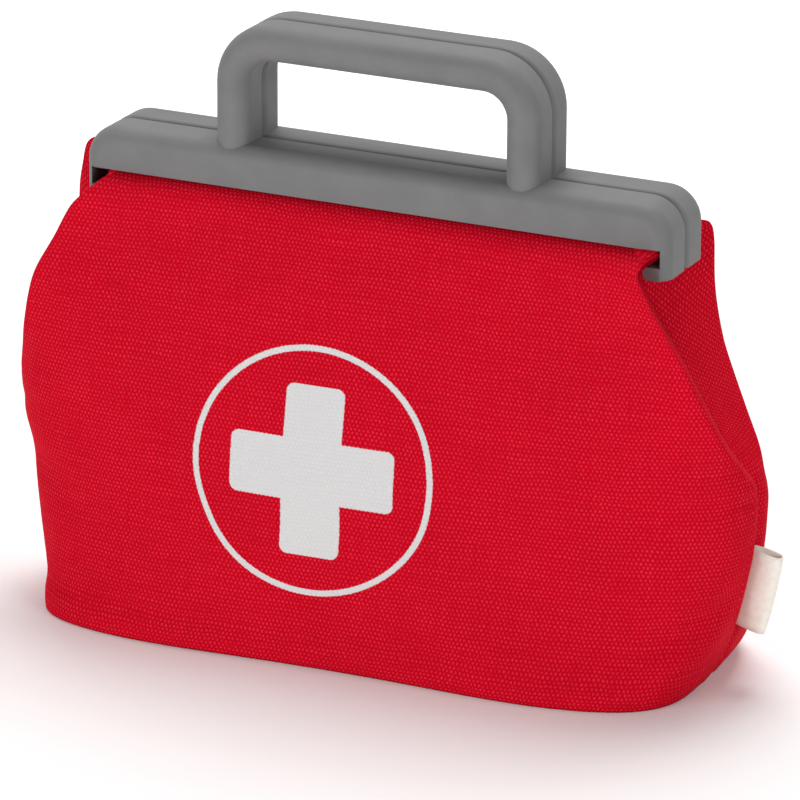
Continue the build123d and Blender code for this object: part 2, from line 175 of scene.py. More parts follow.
# ---------------------------------------------------------------- frame halves and clamp strips
# The frame is one injection moulding used twice, face to face, and a moulded strip inside each bar
# clamps the hem of the cloth. Both are mid-grey ABS with a fine spark-eroded texture from the tool.
def object_place(nodes):
    return node(nodes, "ShaderNodeTexCoord").outputs["Object"]


def noise(nodes, links, place, scale, detail=2):
    made = node(nodes, "ShaderNodeTexNoise")
    made.inputs["Scale"].default_value = scale
    made.inputs["Detail"].default_value = detail
    links.new(place, made.inputs["Vector"])
    return made


def shades(nodes, links, share, first, *middle, last):
    """A colour ramp from (position, colour) pairs; gives its colour's socket."""
    ramp = node(nodes, "ShaderNodeValToRGB")
    stops = ramp.color_ramp.elements
    for stop, (position, colour) in zip((stops[0], stops[1]), (first, last)):
        stop.position, stop.color = position, (*colour, 1)
    for position, colour in middle:
        stops.new(position).color = (*colour, 1)
    links.new(share, ramp.inputs["Fac"])
    return ramp.outputs["Color"]


def rough_skin(nodes, links, surface, height, strength, depth):
    """Raises the surface by a height from 0 to 1, up to a depth in mm."""
    bump = node(nodes, "ShaderNodeBump")
    bump.inputs["Strength"].default_value = strength
    bump.inputs["Distance"].default_value = depth * MM
    links.new(height, bump.inputs["Height"])
    links.new(bump.outputs["Normal"], surface.inputs["Normal"])


def give_material(mesh, material):
    mesh.materials.clear()
    mesh.materials.append(material)


dark_grey, light_grey = (0.160, 0.160, 0.161), (0.184, 0.184, 0.185)
grey_plastic, nodes, links, surface = new_material("grey_moulded_plastic")
place = object_place(nodes)
mottle = noise(nodes, links, place, scale=90, detail=3).outputs["Fac"]
spark_grain = noise(nodes, links, place, scale=2600).outputs["Fac"]
greys = shades(nodes, links, mottle, first=(0.3, dark_grey), last=(0.7, light_grey))
links.new(greys, surface.inputs["Base Color"])
links.new(between(nodes, links, mottle, 0.56, 0.68), surface.inputs["Roughness"])
surface.inputs["Specular IOR Level"].default_value = 0.25
rough_skin(nodes, links, surface, spark_grain, strength=0.25, depth=0.03)
for name in ("front_frame", "rear_frame", "front_clamp_strip", "rear_clamp_strip"):
    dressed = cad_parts[name]
    give_material(dressed.data, grey_plastic)

# ---------------------------------------------------------------- screws and hinge pins
# Five pan-head screws with a cross recess go through each clamp strip and the hem into the bar, and
# a pin at each end joins the two halves. Zinc-plated steel, headed and drawn, faintly streaked.
dark_zinc, bright_zinc = (0.42, 0.42, 0.43), (0.66, 0.66, 0.68)
plated_steel, nodes, links, surface = new_material("zinc_plated_steel")
streaks = noise(nodes, links, object_place(nodes), scale=900).outputs["Fac"]
zincs = shades(nodes, links, streaks, first=(0, dark_zinc), last=(1, bright_zinc))
links.new(zincs, surface.inputs["Base Color"])
links.new(between(nodes, links, streaks, 0.25, 0.45), surface.inputs["Roughness"])
surface.inputs["Metallic"].default_value = 1.0
for name in ("left_hinge_pin", "right_hinge_pin"):
    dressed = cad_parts[name]
    give_material(dressed.data, plated_steel)


def link_mesh(name, mesh, material):
    give_material(mesh, material)
    made = bpy.data.objects.new(name, mesh)
    scene.collection.objects.link(made)
    return made


def plain_mesh(made):
    """Applies the modifiers of an object and leaves it with a plain mesh."""
    depsgraph = bpy.context.evaluated_depsgraph_get()
    baked = bpy.data.meshes.new_from_object(made.evaluated_get(depsgraph))
    made.modifiers.clear()
    made.data = baked


def run_tree(made, tree, **values):
    """Runs a geometry tree on an object, with its named inputs set first."""
    maker = made.modifiers.new("maker", "NODES")
    maker.node_group = tree
    for item in tree.interface.items_tree:
        if item.item_type == "SOCKET" and item.in_out == "INPUT" and item.name in values:
            maker[item.identifier] = values[item.name]
    made.update_tag()
    plain_mesh(made)


screws_a_strip, screw_sides = 5, 14
screw_pitch, screw_level, screw_seat = 46.0, 166.6, 9.8      # mm, the seat from the parting plane
head_radius, head_height = 2.0, 1.3
shank_radius, shank_length = 1.0, 5.6
point_radius, point_length = 0.4, 0.6
recess_arm, recess_reach, recess_depth = 0.5, 1.25, 0.8


def turned(profile, sides):
    """A closed body turned round Y from (radius, place along Y) pairs."""
    body = bmesh.new()
    angles = [2 * math.pi * k / sides for k in range(sides)]
    rings = [
        [body.verts.new((radius * math.cos(a), along, radius * math.sin(a))) for a in angles]
        for radius, along in profile
    ]
    for one, two in zip(rings, rings[1:]):
        for k in range(sides):
            body.faces.new((one[k], one[(k + 1) % sides], two[(k + 1) % sides], two[k]))
    body.faces.new(rings[0])
    body.faces.new(rings[-1][::-1])
    bmesh.ops.recalc_face_normals(body, faces=body.faces)
    mesh = bpy.data.meshes.new("turned")
    body.to_mesh(mesh)
    body.free()
    return mesh


one_screw = link_mesh("one_screw", turned([
    (head_radius * 0.72, head_height), (head_radius * 0.95, head_height * 0.7),
    (head_radius, head_height * 0.25), (head_radius, 0), (shank_radius, 0),
    (shank_radius, -shank_length + point_length), (point_radius, -shank_length),
], screw_sides), plated_steel)
for half_width, half_height in ((recess_reach, recess_arm / 2), (recess_arm / 2, recess_reach)):
    bar = bmesh.new()
    bmesh.ops.create_cube(bar, size=2.0)
    bmesh.ops.scale(bar, vec=(half_width, recess_depth, half_height), verts=bar.verts)
    bmesh.ops.translate(bar, vec=(0, head_height, 0), verts=bar.verts)
    bar_mesh = bpy.data.meshes.new("recess")
    bar.to_mesh(bar_mesh)
    bar.free()
    cutter = bpy.data.objects.new("recess", bar_mesh)
    scene.collection.objects.link(cutter)
    cut = one_screw.modifiers.new("recess", "BOOLEAN")
    cut.operation = "DIFFERENCE"
    cut.object = cutter
    plain_mesh(one_screw)
    bpy.data.objects.remove(cutter)
one_screw.data.transform(Matrix.Scale(MM, 4))


def geometry_tree(name, inputs):
    """An empty geometry tree with (name, socket type) inputs; gives the tree and its two ends."""
    tree = bpy.data.node_groups.new(name, "GeometryNodeTree")
    tree.interface.new_socket("Geometry", in_out="INPUT", socket_type="NodeSocketGeometry")
    tree.interface.new_socket("Geometry", in_out="OUTPUT", socket_type="NodeSocketGeometry")
    for label, kind in inputs:
        tree.interface.new_socket(label, in_out="INPUT", socket_type=kind)
    return tree, tree.nodes.new("NodeGroupInput"), tree.nodes.new("NodeGroupOutput")


def end_tree(nodes, links, instances, material, result):
    """Makes the instances real and gives them their material."""
    real = node(nodes, "GeometryNodeRealizeInstances")
    links.new(instances, real.inputs[0])
    dress = node(nodes, "GeometryNodeSetMaterial")
    dress.inputs["Material"].default_value = material
    links.new(real.outputs[0], dress.inputs["Geometry"])
    links.new(dress.outputs[0], result.inputs[0])


row_tree, given, result = geometry_tree("screw_row", [
    ("Screw", "NodeSocketObject"), ("Count", "NodeSocketInt"), ("Pitch", "NodeSocketFloat"),
])
nodes, links = row_tree.nodes, row_tree.links
row_line = node(nodes, "GeometryNodeMeshLine", mode="OFFSET")
links.new(given.outputs["Count"], row_line.inputs["Count"])
step = node(nodes, "ShaderNodeCombineXYZ")
links.new(given.outputs["Pitch"], step.inputs["X"])
links.new(step.outputs[0], row_line.inputs["Offset"])
# The row is centred: it starts half its length to the left.
pitches = maths(nodes, links, "SUBTRACT", given.outputs["Count"], 1)
row_length = maths(nodes, links, "MULTIPLY", pitches, given.outputs["Pitch"])
row_start = node(nodes, "ShaderNodeCombineXYZ")
links.new(maths(nodes, links, "MULTIPLY", row_length, -0.5), row_start.inputs["X"])
links.new(row_start.outputs[0], row_line.inputs["Start Location"])
screw_shape = node(nodes, "GeometryNodeObjectInfo")
links.new(given.outputs["Screw"], screw_shape.inputs["Object"])
driven_turn = node(nodes, "FunctionNodeRandomValue", data_type="FLOAT_VECTOR")
driven_turn.inputs["Max"].default_value = (0, math.pi, 0)
driven_turn.inputs["Seed"].default_value = 7
screws = node(nodes, "GeometryNodeInstanceOnPoints")
links.new(row_line.outputs[0], screws.inputs["Points"])
links.new(screw_shape.outputs["Geometry"], screws.inputs["Instance"])
links.new(driven_turn.outputs[0], screws.inputs["Rotation"])
end_tree(nodes, links, screws.outputs[0], plated_steel, result)

for name, half in (("front_clamp_screws", -1), ("rear_clamp_screws", 1)):
    row = link_mesh(name.replace("clamp", "strip"), bpy.data.meshes.new(name), plated_steel)
    run_tree(row, row_tree, Screw=one_screw, Count=screws_a_strip, Pitch=screw_pitch * MM)
    row.data.transform(
        Matrix.Translation((0, half * screw_seat * MM, screw_level * MM))
        @ Matrix.Rotation(math.pi if half > 0 else 0, 4, "Z")
    )
    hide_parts(name)
    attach(row, "front_half" if half < 0 else "rear_half")
bpy.data.objects.remove(one_screw)

# ---------------------------------------------------------------- canvas front and rear
# Each is one piece of coarse red cotton duck, sewn to the other along the two ends and to the base.
# Above the widest part the ends fold in between the legs of the frame, which clamps the hem.
warp_pitch, weft_pitch = 0.8, 1.45      # mm, thread to thread
thread_drift, thread_kink = 2.4, 0.7    # mm that the threads wander, slowly and from slub to slub
uneven_threads = 0.45                   # how much thinner or thicker than the next a thread can be
float_swing, float_rest = 0.42, 0.5     # how far a thread rises and sinks, and its mean height
float_roundness = 0.65
float_low, float_high = 0.08, 0.98
print_ring_radius, print_ring_width = 44.0, 2.2          # mm, to the middle of the printed line
cross_span, cross_arm, cross_corner = 61.4, 22.0, 3.0
print_stretch = (1.03, 0.985)           # the cloth is eased a little along the bag
print_middle = (-12.8, 71.6)            # mm along the cloth from the bag's middle, and up it
# The weave's reds hold painted light: the valley red is a painted shade for the hollows between
# threads, the tip red a whiter painted highlight for the thread tops.
red_valley_painted_shade, red_body, red_tip_painted_highlight = (0.48, 0.0, 0.008), (0.58, 0.002, 0.017), (0.80, 0.026, 0.055)
thin_ink, full_ink = (0.58, 0.55, 0.56), (0.68, 0.68, 0.68)


def vector_maths(nodes, links, operation, *values):
    """A Vector Math node on sockets or plain triples; gives the node."""
    made = node(nodes, "ShaderNodeVectorMath", operation=operation)
    for socket, value in zip(made.inputs, values):
        if isinstance(value, tuple):
            socket.default_value = value
        else:
            links.new(value, socket)
    return made


def weave(nodes, links, flat):
    """Plain weave on flat cloth places in mm: how high the thread lies there, from 0 to 1."""
    wander = noise(nodes, links, flat, scale=0.045, detail=3).outputs["Color"]
    slub = noise(nodes, links, flat, scale=0.4, detail=1).outputs["Color"]
    drift = (thread_drift, thread_drift, 0)
    kink = (thread_kink, thread_kink, 0)
    drifted = vector_maths(nodes, links, "MULTIPLY_ADD", wander, drift, flat).outputs[0]
    place = vector_maths(nodes, links, "MULTIPLY_ADD", slub, kink, drifted).outputs[0]
    parts = node(nodes, "ShaderNodeSeparateXYZ")
    links.new(place, parts.inputs[0])
    across = maths(nodes, links, "MULTIPLY", parts.outputs[0], math.pi / warp_pitch)
    along = maths(nodes, links, "MULTIPLY", parts.outputs[1], math.pi / weft_pitch)
    across, along = maths(nodes, links, "COSINE", across), maths(nodes, links, "COSINE", along)
    # Each warp thread goes over one weft thread and under the next, as a row of rounded floats.
    over = maths(nodes, links, "MULTIPLY", across, maths(nodes, links, "SIGN", along))
    over = maths(nodes, links, "MULTIPLY_ADD", over, float_swing, float_rest)
    row = maths(nodes, links, "POWER", maths(nodes, links, "ABSOLUTE", along), float_roundness)
    floats = maths(nodes, links, "MULTIPLY", over, row)
    # Some threads are thicker than others.
    for drawn_out in ((0.05, 0.75, 1), (1.3, 0.05, 1)):
        thread_place = node(nodes, "ShaderNodeMapping")
        thread_place.inputs["Scale"].default_value = drawn_out
        links.new(place, thread_place.inputs["Vector"])
        thick = noise(nodes, links, thread_place.outputs[0], scale=1).outputs["Fac"]
        size = between(nodes, links, thick, 1 - uneven_threads, 1 + uneven_threads)
        floats = maths(nodes, links, "MULTIPLY", floats, size)
    return between(nodes, links, floats, float_low, float_high, clamp=True)


def canvas_material(name, printed):
    material, nodes, links, surface = new_material(name)
    flat = node(nodes, "ShaderNodeUVMap", uv_map="cloth").outputs["UV"]
    floats = weave(nodes, links, flat)
    fibres = noise(nodes, links, flat, scale=1.6, detail=4).outputs["Fac"]
    uneven = between(nodes, links, fibres, -0.25, 0.25)
    # Painted shade and painted highlight: the red darkens in the hollows and lightens on the thread
    # tops with the threads' height; the fibre noise adds a real unevenness of colour.
    weave_light_and_fibre_tone = maths(nodes, links, "ADD", floats, uneven, clamp=True)
    reds = shades(nodes, links, weave_light_and_fibre_tone, (0, red_valley_painted_shade), (0.5, red_body), last=(1, red_tip_painted_highlight))
    cloud = noise(nodes, links, flat, scale=0.03, detail=3).outputs["Fac"]
    colour = vector_maths(nodes, links, "SCALE", reds)
    links.new(between(nodes, links, cloud, 0.92, 1.08), colour.inputs["Scale"])
    colour = colour.outputs[0]
    if printed:
        colour = rescue_print(nodes, links, flat, floats, fibres, colour)
    links.new(colour, surface.inputs["Base Color"])
    surface.inputs["Roughness"].default_value = 0.8
    surface.inputs["Specular IOR Level"].default_value = 0.04
    height = maths(nodes, links, "MULTIPLY_ADD", fibres, 0.35, floats)
    rough_skin(nodes, links, surface, height, strength=0.7, depth=0.16)
    return material


def rescue_print(nodes, links, flat, floats, fibres, cloth_colour):
    """White plastisol ink, screen-printed on the weave: a plain cross in a ring."""
    centred = node(nodes, "ShaderNodeMapping", vector_type="TEXTURE")
    centred.inputs["Location"].default_value = (*print_middle, 0)
    centred.inputs["Scale"].default_value = (*print_stretch, 1)
    links.new(flat, centred.inputs["Vector"])
    place = centred.outputs[0]
    from_middle = vector_maths(nodes, links, "LENGTH", place).outputs["Value"]
    off_ring = maths(nodes, links, "SUBTRACT", from_middle, print_ring_radius)
    off_ring = maths(nodes, links, "ABSOLUTE", off_ring)
    inside = maths(nodes, links, "SUBTRACT", print_ring_width / 2, off_ring)
    folded = vector_maths(nodes, links, "ABSOLUTE", place).outputs[0]
    for long, high in ((cross_span / 2, cross_arm / 2), (cross_arm / 2, cross_span / 2)):
        square = (long - cross_corner, high - cross_corner, 0)
        beyond = vector_maths(nodes, links, "SUBTRACT", folded, square).outputs[0]
        beyond = vector_maths(nodes, links, "MAXIMUM", beyond, (0, 0, 0)).outputs[0]
        reach = vector_maths(nodes, links, "LENGTH", beyond).outputs["Value"]
        arm = maths(nodes, links, "SUBTRACT", cross_corner, reach)
        inside = maths(nodes, links, "MAXIMUM", inside, arm)
    # The ink's edge follows the threads that it lies on, and it covers the valleys thinly.
    inside = maths(nodes, links, "ADD", inside, between(nodes, links, floats, -0.08, 0.08))
    inked = maths(nodes, links, "MULTIPLY_ADD", inside, 3.0, 0.5, clamp=True)
    cover = maths(nodes, links, "MULTIPLY_ADD", fibres, 0.3, floats)
    mixed = node(nodes, "ShaderNodeMix", data_type="RGBA")
    links.new(inked, mixed.inputs["Factor"])
    links.new(cloth_colour, mixed.inputs["A"])
    whites = shades(nodes, links, cover, first=(0, thin_ink), last=(0.45, full_ink))
    links.new(whites, mixed.inputs["B"])
    return mixed.outputs["Result"]


printed_canvas = canvas_material("printed_red_canvas", printed=True)
plain_canvas = canvas_material("red_canvas", printed=False)

fold_end = 74.0        # mm up; the folded ends open out below this level
edge_level = 161.4     # where the cloth goes into the frame
hem_top, hem_rows = 170.4, 4
hem_reach, hem_depth = 101.5, 13.6      # from the middle of the bar, and from the parting plane
cloth_thickness = 1.0


def smooth_table(pairs):
    """A smooth curve through (level, size) pairs, with no overshoot; gives a function of level."""
    xs, ys = np.array(sorted(pairs), float).T
    steps = np.diff(ys) / np.diff(xs)
    slopes = np.zeros(len(xs))
    slopes[0], slopes[-1] = steps[0], steps[-1]
    for i in range(1, len(xs) - 1):
        if steps[i - 1] * steps[i] > 0:
            slopes[i] = 2 / (1 / steps[i - 1] + 1 / steps[i])

    def size(level):
        level = np.clip(level, xs[0], xs[-1])
        i = int(np.clip(np.searchsorted(xs, level) - 1, 0, len(xs) - 2))
        run = xs[i + 1] - xs[i]
        t = (level - xs[i]) / run
        return (
            (2 * t**3 - 3 * t**2 + 1) * ys[i]
            + (t**3 - 2 * t**2 + t) * run * slopes[i]
            + (3 * t**2 - 2 * t**3) * ys[i + 1]
            + (t**3 - t**2) * run * slopes[i + 1]
        )

    return size


# The tables give mm at a level in mm.
# The middle of the front or rear, from the parting plane between the halves.
half_depth = smooth_table([
    (0.3, 53.6), (2.0, 54.6), (5, 54.6), (12, 53.0), (20, 51.0), (30, 49.0), (45, 46.0), (66, 41.6),
    (90, 36.4), (110, 32.0), (130, 27.7), (145, 24.4), (152, 22.9), (155, 22.2), (157.5, 21.2),
    (159.5, 19.4), (160.8, 17.0), (161.4, 14.5),
])
# The end seam: the bottom of the fold above fold_end, and the rounded end below it.
seam_reach = smooth_table([
    (0.3, 121.4), (4, 123.2), (8, 125.0), (20, 129.3), (30, 131.8), (40, 133.8), (50, 135.6),
    (60, 137.4), (68, 138.4), (74, 137.6), (83, 130.6), (94, 124), (104, 118.6), (118, 111),
    (135, 100.6), (146, 95.4), (155, 91), (161.4, 88),
])
# The folded corner of each quarter: (level, along the bag, from the parting plane).
corner_places = {
    "front_right": [
        (74, 141.6, 8.5), (78, 140.8, 10.4), (83, 139, 13.4), (89, 136.9, 17.2), (96, 134.6, 20.6),
        (104, 131.4, 23.4), (114, 127.7, 25.8), (124, 123.5, 27.6), (135, 118, 28.2),
        (145, 112.4, 28.4), (151, 109.6, 29), (154.6, 107.3, 29.6), (156.6, 106.8, 27.6),
        (158.6, 107.6, 24), (160.4, 109.2, 19), (161.4, 110.4, 15),
    ],
    "front_left": [
        (74, 141, 8), (82, 140.4, 11), (93, 137, 18), (103, 134.4, 23), (118, 130.4, 27.4),
        (124, 128.3, 28.2), (138, 120.3, 28.4), (150, 113.6, 28.6), (155, 108.8, 27.2),
        (157.5, 106, 25), (159.5, 103.4, 21), (160.8, 101.9, 17.4), (161.4, 101.4, 14.5),
    ],
    "rear_right": [
        (74, 139.4, 9.5), (82, 135.6, 15.4), (93, 128.4, 20.8), (105, 121.2, 25.8), (118, 116, 28),
        (133, 113.4, 28.6), (143, 112.8, 28.6), (151, 112.6, 28.6), (157, 112, 28.6),
        (159.6, 110.8, 28), (160.6, 109.2, 26.4), (161.1, 107, 23), (161.4, 104, 15),
    ],
    "rear_left": [
        (74, 141, 9), (82, 141.4, 13), (93, 139, 18.4), (103, 137, 20.5), (124, 135.6, 21.4),
        (135, 136.2, 21.2), (143, 136.6, 21.6), (150, 136.3, 22.2), (155, 135.6, 22.8),
        (158.4, 133.4, 23), (160, 128, 22.4), (160.8, 119.4, 20.6), (161.1, 112, 18),
        (161.4, 105, 14.8),
    ],
}
# The power of the outline's curve: 2 is an ellipse, and more is squarer at the ends.
end_roundness = {
    "left": smooth_table([
        (0.3, 4.8), (6, 4.2), (12, 3.4), (25, 3.0), (40, 2.85), (66, 2.8), (90, 3.2), (110, 3.8),
        (161.4, 4.2),
    ]),
    "right": smooth_table([
        (0.3, 4.3), (6, 4.1), (12, 3.6), (25, 3.05), (40, 2.85), (66, 2.8), (90, 3.2), (110, 3.8),
        (161.4, 4.2),
    ]),
}
# The standing bag has turned a little under its frame, in degrees, and sways off its middle.
bag_twist = smooth_table([(0, 2.0), (40, 2.4), (80, 2.2), (120, 1.0), (150, 0.0), (161.4, 0.0)])
bag_sway = smooth_table([
    (0.3, -0.3), (4, 0.6), (10, 1.3), (48, 1.9), (68, 0.4), (84, 0), (161.4, 0),
])
# Between its corners the foot of the front and rear draws in.
foot_dip = smooth_table([(0.3, 3.0), (12, 2.2), (30, 0.8), (50, 0), (161.4, 0)])
dip_reach = 82.0
# Below the folds the end is round: how far it stands past its seam, half the width of that round,
# and where it bends, out from the corner and as a share of the half width.
round_end_bulge, round_end_half = 2.2, 8.0
round_bend_out, round_bend_share = 1.2, 0.45
# Above fold_end the end goes from round to folded over one run, and sinks in over another.
folding_run, sinking_run = 18.0, 60.0
fold_sink = 1.8 * np.array([0.6, 0.8])
# Near the frame the cloth bends round the frame's leg.
leg_corner, leg_margin = np.array([102.2, 18.4]), 0.2
leg_level, leg_run = 143.0, 7.0
nearly_full = 0.995    # of the half depth, the most at which a corner still lies on the curve
flare_power = 5
# Columns of the cloth from a middle to a corner and on to the seam, and the levels of its rows,
# which lie closer at the foot and at the frame.
columns_front, columns_end = 64, 22
levels = np.concatenate([
    np.linspace(0.3, 12, 12), np.linspace(12, 60, 26)[1:], np.linspace(60, 150, 56)[1:],
    np.linspace(150, 159, 11)[1:], np.linspace(159, edge_level, 9)[1:],
])


def lengths_along(points):
    """The way from a line's first point to each of its points, along it."""
    return np.concatenate([[0], np.cumsum(np.linalg.norm(np.diff(points, axis=0), axis=1))])


def evenly(points, count):
    """count + 1 points at equal distances along a line of many."""
    lengths = lengths_along(points)
    wanted = np.linspace(0, lengths[-1], count + 1)
    return np.stack([np.interp(wanted, lengths, points[:, axis]) for axis in range(2)], axis=1)


def quarter_outline(level, corner, power):
    """One quarter, from the middle of the front to the end seam: x and depth are both positive."""
    middle, seam = half_depth(level), seam_reach(level)
    if level < fold_end:
        corner_x, corner_y = seam + round_end_bulge, round_end_half
    else:
        corner_x, corner_y = corner[0](level), corner[1](level)
    near = min(corner_y / middle, nearly_full)
    flare = max(corner_y - nearly_full * middle, 0)
    half_length = corner_x / (1 - near**power) ** (1 / power)
    corner_angle = math.acos(min((corner_x / half_length) ** (power / 2), 1.0))
    sweep = np.linspace(math.pi / 2, corner_angle, 200)
    xs = half_length * np.cos(sweep) ** (2 / power)
    depths = middle * np.sin(sweep) ** (2 / power) + flare * (xs / corner_x) ** flare_power
    depths = depths - foot_dip(level) * np.clip(1 - (xs / dip_reach) ** 2, 0, 1) ** 2
    face = evenly(np.stack([xs, depths], axis=1), columns_front)
    # Past the corner the cloth turns in to the seam by one bend: round low down, sunk in higher up.
    t = np.linspace(0, 1, columns_end + 1)[1:, None]
    start, end = np.array([corner_x, corner_y]), np.array([seam, 0.0])
    round_bend = np.array([corner_x + round_bend_out, corner_y * round_bend_share])
    sink = fold_sink * np.clip((level - fold_end) / sinking_run, 0, 1)
    folded_bend = (start + end) / 2 - sink
    folded = np.clip((level - fold_end) / folding_run, 0, 1)
    bend = folded_bend * folded + round_bend * (1 - folded)
    fold = (1 - t) ** 2 * start + 2 * t * (1 - t) * bend + t**2 * end
    knee = np.minimum(leg_corner, start - leg_margin)
    round_leg = np.where(t < 0.5, start + (knee - start) * 2 * t, knee + (end - knee) * (2 * t - 1))
    fold = fold + (round_leg - fold) * np.clip((level - leg_level) / leg_run, 0, 1)
    return np.concatenate([face, fold])


# Slack in the cloth: (size, length / 2 pi, direction, shift) of waves, and folds from place to
# place on the flat cloth with their width and depth, in mm and radians. Front is -1, rear is 1.
slack_waves = {
    -1: [(0.35, 17, 0.3, 0.4), (0.3, 11, 1.9, 2.1), (0.2, 7.5, 2.6, 0.9)],
    1: [(0.45, 15, 0.8, 1.4), (0.35, 12, 2.2, 0.2), (0.2, 8, 0.2, 2.9)],
}
soft_folds = {
    -1: [
        ((152, 41), (110, 20), 4.5, -2.0), ((150, 27), (106, 8), 6, 1.3),
        ((-150, 62), (-104, 40), 8, -1.3), ((116, 158), (88, 118), 7, -0.8),
        ((-108, 160), (-86, 116), 8, -0.7), ((128, 120), (108, 84), 8, 0.6),
    ],
    1: [
        ((-140, 60), (-96, 44), 7, -1.2), ((144, 66), (104, 48), 8, -1.1),
        ((110, 150), (84, 104), 8, -0.9), ((-120, 150), (-92, 108), 7, -1.0),
        ((30, 30), (-24, 12), 9, -0.8),
    ],
}
held_by_seam, held_by_foot, held_by_hem = 12.0, 10.0, 16.0     # mm of cloth that each keeps flat


def slackness(flat, half):
    """How far slack cloth stands out or in, in mm: broad waves, and folds pulled from one spot."""
    u, v = flat[..., 0], flat[..., 1]
    waves = sum(
        size * np.sin(u * math.cos(aim) / length + v * math.sin(aim) / length + shift)
        for size, length, aim, shift in slack_waves[half]
    )
    folds = np.zeros_like(u)
    for (u0, v0), (u1, v1), width, depth in soft_folds[half]:
        run = np.array([u1 - u0, v1 - v0])
        share = np.clip(((u - u0) * run[0] + (v - v0) * run[1]) / (run @ run), 0, 1)
        away = np.hypot(u - u0 - share * run[0], v - v0 - share * run[1])
        fading = np.sin(math.pi * np.clip(share, 0.02, 0.98)) ** 0.7
        folds += depth * np.exp(-((away / width) ** 2)) * fading
    from_seams = np.minimum(np.abs(u - u[:, :1]), np.abs(u - u[:, -1:]))
    free = (
        np.clip(from_seams / held_by_seam, 0, 1) * np.clip(v / held_by_foot, 0, 1)
        * np.clip((v[-1:] - v) / held_by_hem, 0, 1)
    )
    return (waves + folds) * free**1.5


# How far the weave lies turned past a folded corner, and the run above fold_end in which it turns.
fold_turn, fold_turn_run = math.radians(27), 24.0
rounding_passes, normal_passes = 2, 6


def cloth_rows(half):
    """Points and flat cloth places, row by row from the floor, for half -1 (front) or 1 (rear)."""
    corners = {}
    for side in ("left", "right"):
        table = corner_places[("rear_" if half > 0 else "front_") + side]
        corners[side] = [smooth_table([(row[0], row[k]) for row in table]) for k in (1, 2)]
    rows, flat_rows = [], []
    climb, previous = 0.0, None
    for level in levels:
        right = quarter_outline(level, corners["right"], end_roundness["right"](level))
        left = quarter_outline(level, corners["left"], end_roundness["left"](level))
        outline = np.concatenate([left[:0:-1] * [-1, 1], right])
        across = lengths_along(outline)
        across -= across[len(left) - 1]
        middle = np.array([half_depth(level), level])
        if previous is not None:
            climb += np.linalg.norm(middle - previous)
        previous = middle
        twist = math.radians(bag_twist(level))
        x, y = outline[:, 0] + bag_sway(level), outline[:, 1] * half
        rows.append(np.stack([
            x * math.cos(twist) - y * math.sin(twist), x * math.sin(twist) + y * math.cos(twist),
            np.full(len(x), level),
        ], axis=1))
        # Past the folded corners the weave lies turned, as in any folded cloth.
        slope = fold_turn * np.clip((level - fold_end) / fold_turn_run, 0, 1)
        corner_along = np.where(across < 0, -across[columns_end], across[-1 - columns_end])
        past = np.maximum(np.abs(across) - corner_along, 0)
        flat_rows.append(np.stack([
            across - np.sign(across) * past * (1 - math.cos(slope)), climb + past * math.sin(slope),
        ], axis=1))
    grid, flat = np.array(rows), np.array(flat_rows)
    # Folded edges are rounded by the thickness of the cloth.
    for _ in range(rounding_passes):
        grid[:, 1:-1] = grid[:, 1:-1] * 0.5 + (grid[:, :-2] + grid[:, 2:]) * 0.25
    for _ in range(rounding_passes):
        grid[1:-1] = grid[1:-1] * 0.5 + (grid[:-2] + grid[2:]) * 0.25
    outward = np.cross(np.gradient(grid, axis=1), np.gradient(grid, axis=0)) * -half
    outward /= np.linalg.norm(outward, axis=2, keepdims=True)
    for _ in range(normal_passes):
        outward[1:-1, 1:-1] = outward[1:-1, 1:-1] * 0.2 + 0.2 * (
            outward[2:, 1:-1] + outward[:-2, 1:-1] + outward[1:-1, 2:] + outward[1:-1, :-2]
        )
    return grid + outward * slackness(flat, half)[..., None], flat


def cloth_mesh(name, points, flats, faces):
    """A smooth mesh from points in mm, with their places on the flat cloth, in mm, as its UVs."""
    mesh = bpy.data.meshes.new(name)
    mesh.from_pydata([tuple(point) for point in points * MM], [], faces)
    layer = mesh.uv_layers.new(name="cloth")
    index = np.zeros(len(mesh.loops), np.int32)
    mesh.loops.foreach_get("vertex_index", index)
    layer.data.foreach_set("uv", flats[index].astype(np.float32).ravel())
    mesh.polygons.foreach_set("use_smooth", np.ones(len(mesh.polygons), bool))
    return mesh


def grid_faces(rows, columns):
    return [
        (a, a + 1, a + columns + 1, a + columns)
        for row in range(rows - 1) for a in range(row * columns, (row + 1) * columns - 1)
    ]


def thicken(sheet, thickness, offset):
    """Gives a sheet its thickness in mm, inwards with an offset of -1 and both ways with 0."""
    wall = sheet.modifiers.new("thickness", "SOLIDIFY")
    wall.thickness = thickness * MM
    wall.offset = offset
    plain_mesh(sheet)


def canvas_panel(name, half, material):
    """Columns run from the left seam to the right seam, rows from the floor up into the frame."""
    grid, flat = cloth_rows(half)
    rows, columns = grid.shape[:2]
    # The hem goes on up inside the frame between the two corners.
    first, last = columns_end, columns - 1 - columns_end
    hem_columns = last - first + 1
    hem, hem_flat = [], []
    for k in range(1, hem_rows + 1):
        lift = (hem_top - edge_level) * k / hem_rows
        row = grid[-1, first:last + 1] + [0, 0, lift]
        row[:, 0] = np.clip(row[:, 0], -hem_reach, hem_reach)
        row[:, 1] = half * hem_depth
        hem.append(row)
        hem_flat.append(flat[-1, first:last + 1] + [0, lift])
    points = np.concatenate([grid.reshape(-1, 3)] + hem)
    flats = np.concatenate([flat.reshape(-1, 2)] + hem_flat)
    faces = grid_faces(rows, columns)
    for k in range(hem_rows):
        lower = rows * columns + (k - 1) * hem_columns if k else (rows - 1) * columns + first
        upper = rows * columns + k * hem_columns
        faces += [
            (lower + c, lower + c + 1, upper + c + 1, upper + c) for c in range(hem_columns - 1)
        ]
    if half > 0:
        faces = [face[::-1] for face in faces]
    panel = link_mesh(name, cloth_mesh(name, points, flats, faces), material)
    thicken(panel, cloth_thickness, -1)
    return panel


